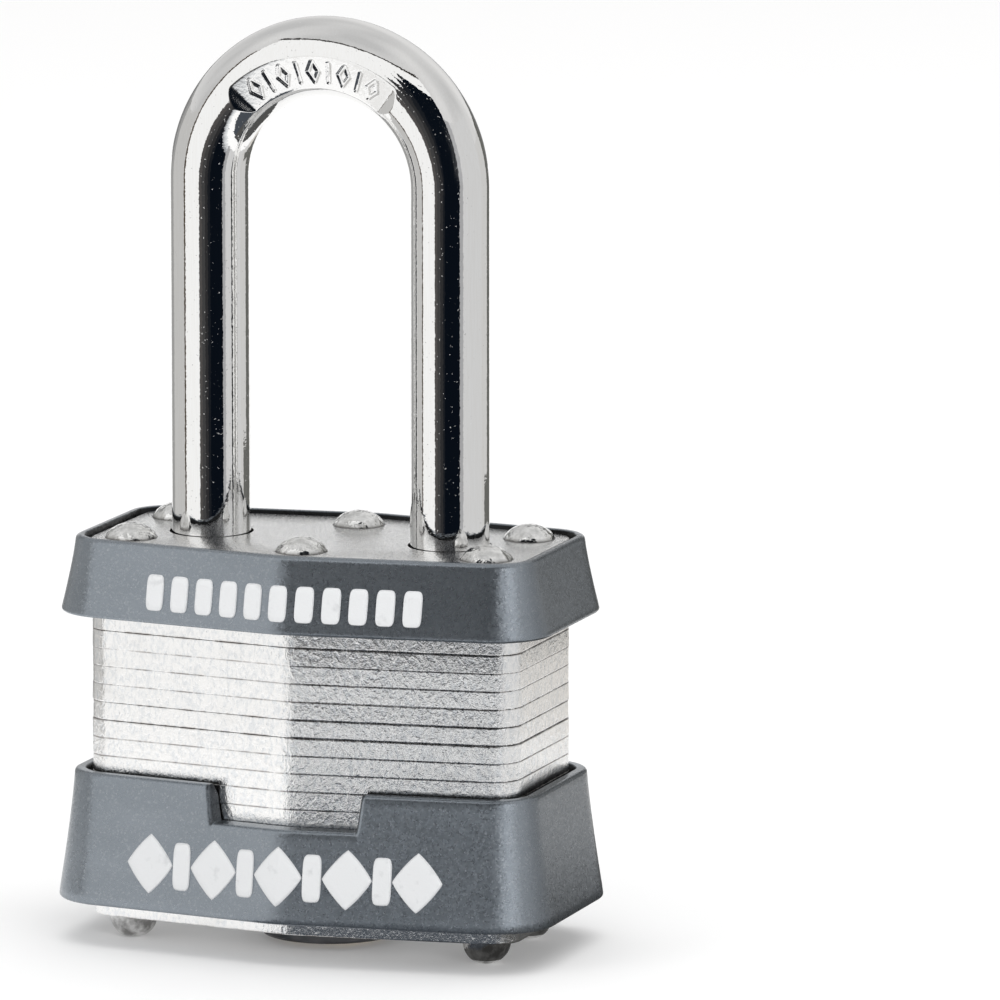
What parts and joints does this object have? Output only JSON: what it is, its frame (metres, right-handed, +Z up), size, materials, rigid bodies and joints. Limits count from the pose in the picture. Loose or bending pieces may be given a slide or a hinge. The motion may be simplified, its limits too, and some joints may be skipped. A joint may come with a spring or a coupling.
{
  "type": "laminated padlock",
  "caption": "Keyed padlock: riveted steel plates between two moulded bumpers, long round shackle, key cylinder opening in the underside.",
  "frame": {"origin": "on the surface the lock stands on, under the middle of the body", "axes": "+X to the right seen from the front, front towards -Y, +Z up along the shackle's legs"},
  "size_m": [0.0464, 0.0278, 0.082],
  "materials": {
    "zinc_plated_steel": "zinc-plated, fine mottled grain",
    "chromed_steel": "mirror plated",
    "rivet_steel": "bright plated",
    "bumper_plastic": "satin dark grey with fine metallic flake",
    "brass": "turned",
    "cylinder_body": "dark die-cast zinc",
    "spring_steel": "drawn wire"
  },
  "bodies": {
    "body": {"centre_rivet_back": "rivet_steel", "centre_rivet_front": "rivet_steel", "corner_rivet_back_left": "rivet_steel", "corner_rivet_back_right": "rivet_steel", "corner_rivet_front_left": "rivet_steel", "corner_rivet_front_right": "rivet_steel", "cylinder_housing": "cylinder_body", "driver_pin_1": "brass", "driver_pin_2": "brass", "driver_pin_3": "brass", "driver_pin_4": "brass", "lamination_01": "zinc_plated_steel", "lamination_02": "zinc_plated_steel", "lamination_03": "zinc_plated_steel", "lamination_04": "zinc_plated_steel", "lamination_05": "zinc_plated_steel", "lamination_06": "zinc_plated_steel", "lamination_07": "zinc_plated_steel", "lamination_08": "zinc_plated_steel", "lamination_09": "zinc_plated_steel", "lamination_10": "zinc_plated_steel", "lamination_11": "zinc_plated_steel", "lamination_12": "zinc_plated_steel", "lamination_13": "zinc_plated_steel", "lamination_14": "zinc_plated_steel", "lamination_15": "zinc_plated_steel", "lamination_16": "zinc_plated_steel", "lamination_17": "zinc_plated_steel", "lamination_18": "zinc_plated_steel", "lamination_19": "zinc_plated_steel", "lamination_20": "zinc_plated_steel", "lamination_21": "zinc_plated_steel", "lever_spring_heel": "spring_steel", "lever_spring_toe": "spring_steel", "lower_bumper": "bumper_plastic", "pin_spring_1": "spring_steel", "pin_spring_2": "spring_steel", "pin_spring_3": "spring_steel", "pin_spring_4": "spring_steel", "shackle_spring": "spring_steel", "spring_cover_strip": "brass", "upper_bumper": "bumper_plastic"},
    "shackle": {"shackle": "chromed_steel"},
    "plug": {"plug": "brass", "plug_retainer_clip": "spring_steel", "cam": "brass", "key_pin_1": "brass", "key_pin_2": "brass", "key_pin_3": "brass", "key_pin_4": "brass"},
    "heel_lever": {"locking_lever_heel": "zinc_plated_steel"},
    "toe_lever": {"locking_lever_toe": "zinc_plated_steel"}
  },
  "joints": [
    {"name": "shackle_lift", "type": "slide", "parent": "body", "child": "shackle", "axis": [0, 0, 1], "range_m": [0, 0.0122], "deforming": ["shackle_spring"]},
    {"name": "plug_turn", "type": "hinge", "parent": "body", "child": "plug", "pos_m": [0, 0, 0.01], "axis": [0, 0, 1], "range_deg": [0, 90]},
    {"name": "heel_lever_slide", "type": "slide", "parent": "body", "child": "heel_lever", "axis": [1, 0, 0], "range_m": [0, 0.0051], "deforming": ["lever_spring_heel"]},
    {"name": "toe_lever_slide", "type": "slide", "parent": "body", "child": "toe_lever", "axis": [-1, 0, 0], "range_m": [0, 0.0051], "deforming": ["lever_spring_toe"]}
  ],
  "couplings": [
    {"joint": "plug_turn", "follows": "shackle_lift", "rad_per_m": 128.75},
    {"joint": "heel_lever_slide", "follows": "shackle_lift", "ratio": 0.4173},
    {"joint": "toe_lever_slide", "follows": "shackle_lift", "ratio": 0.4173}
  ]
}
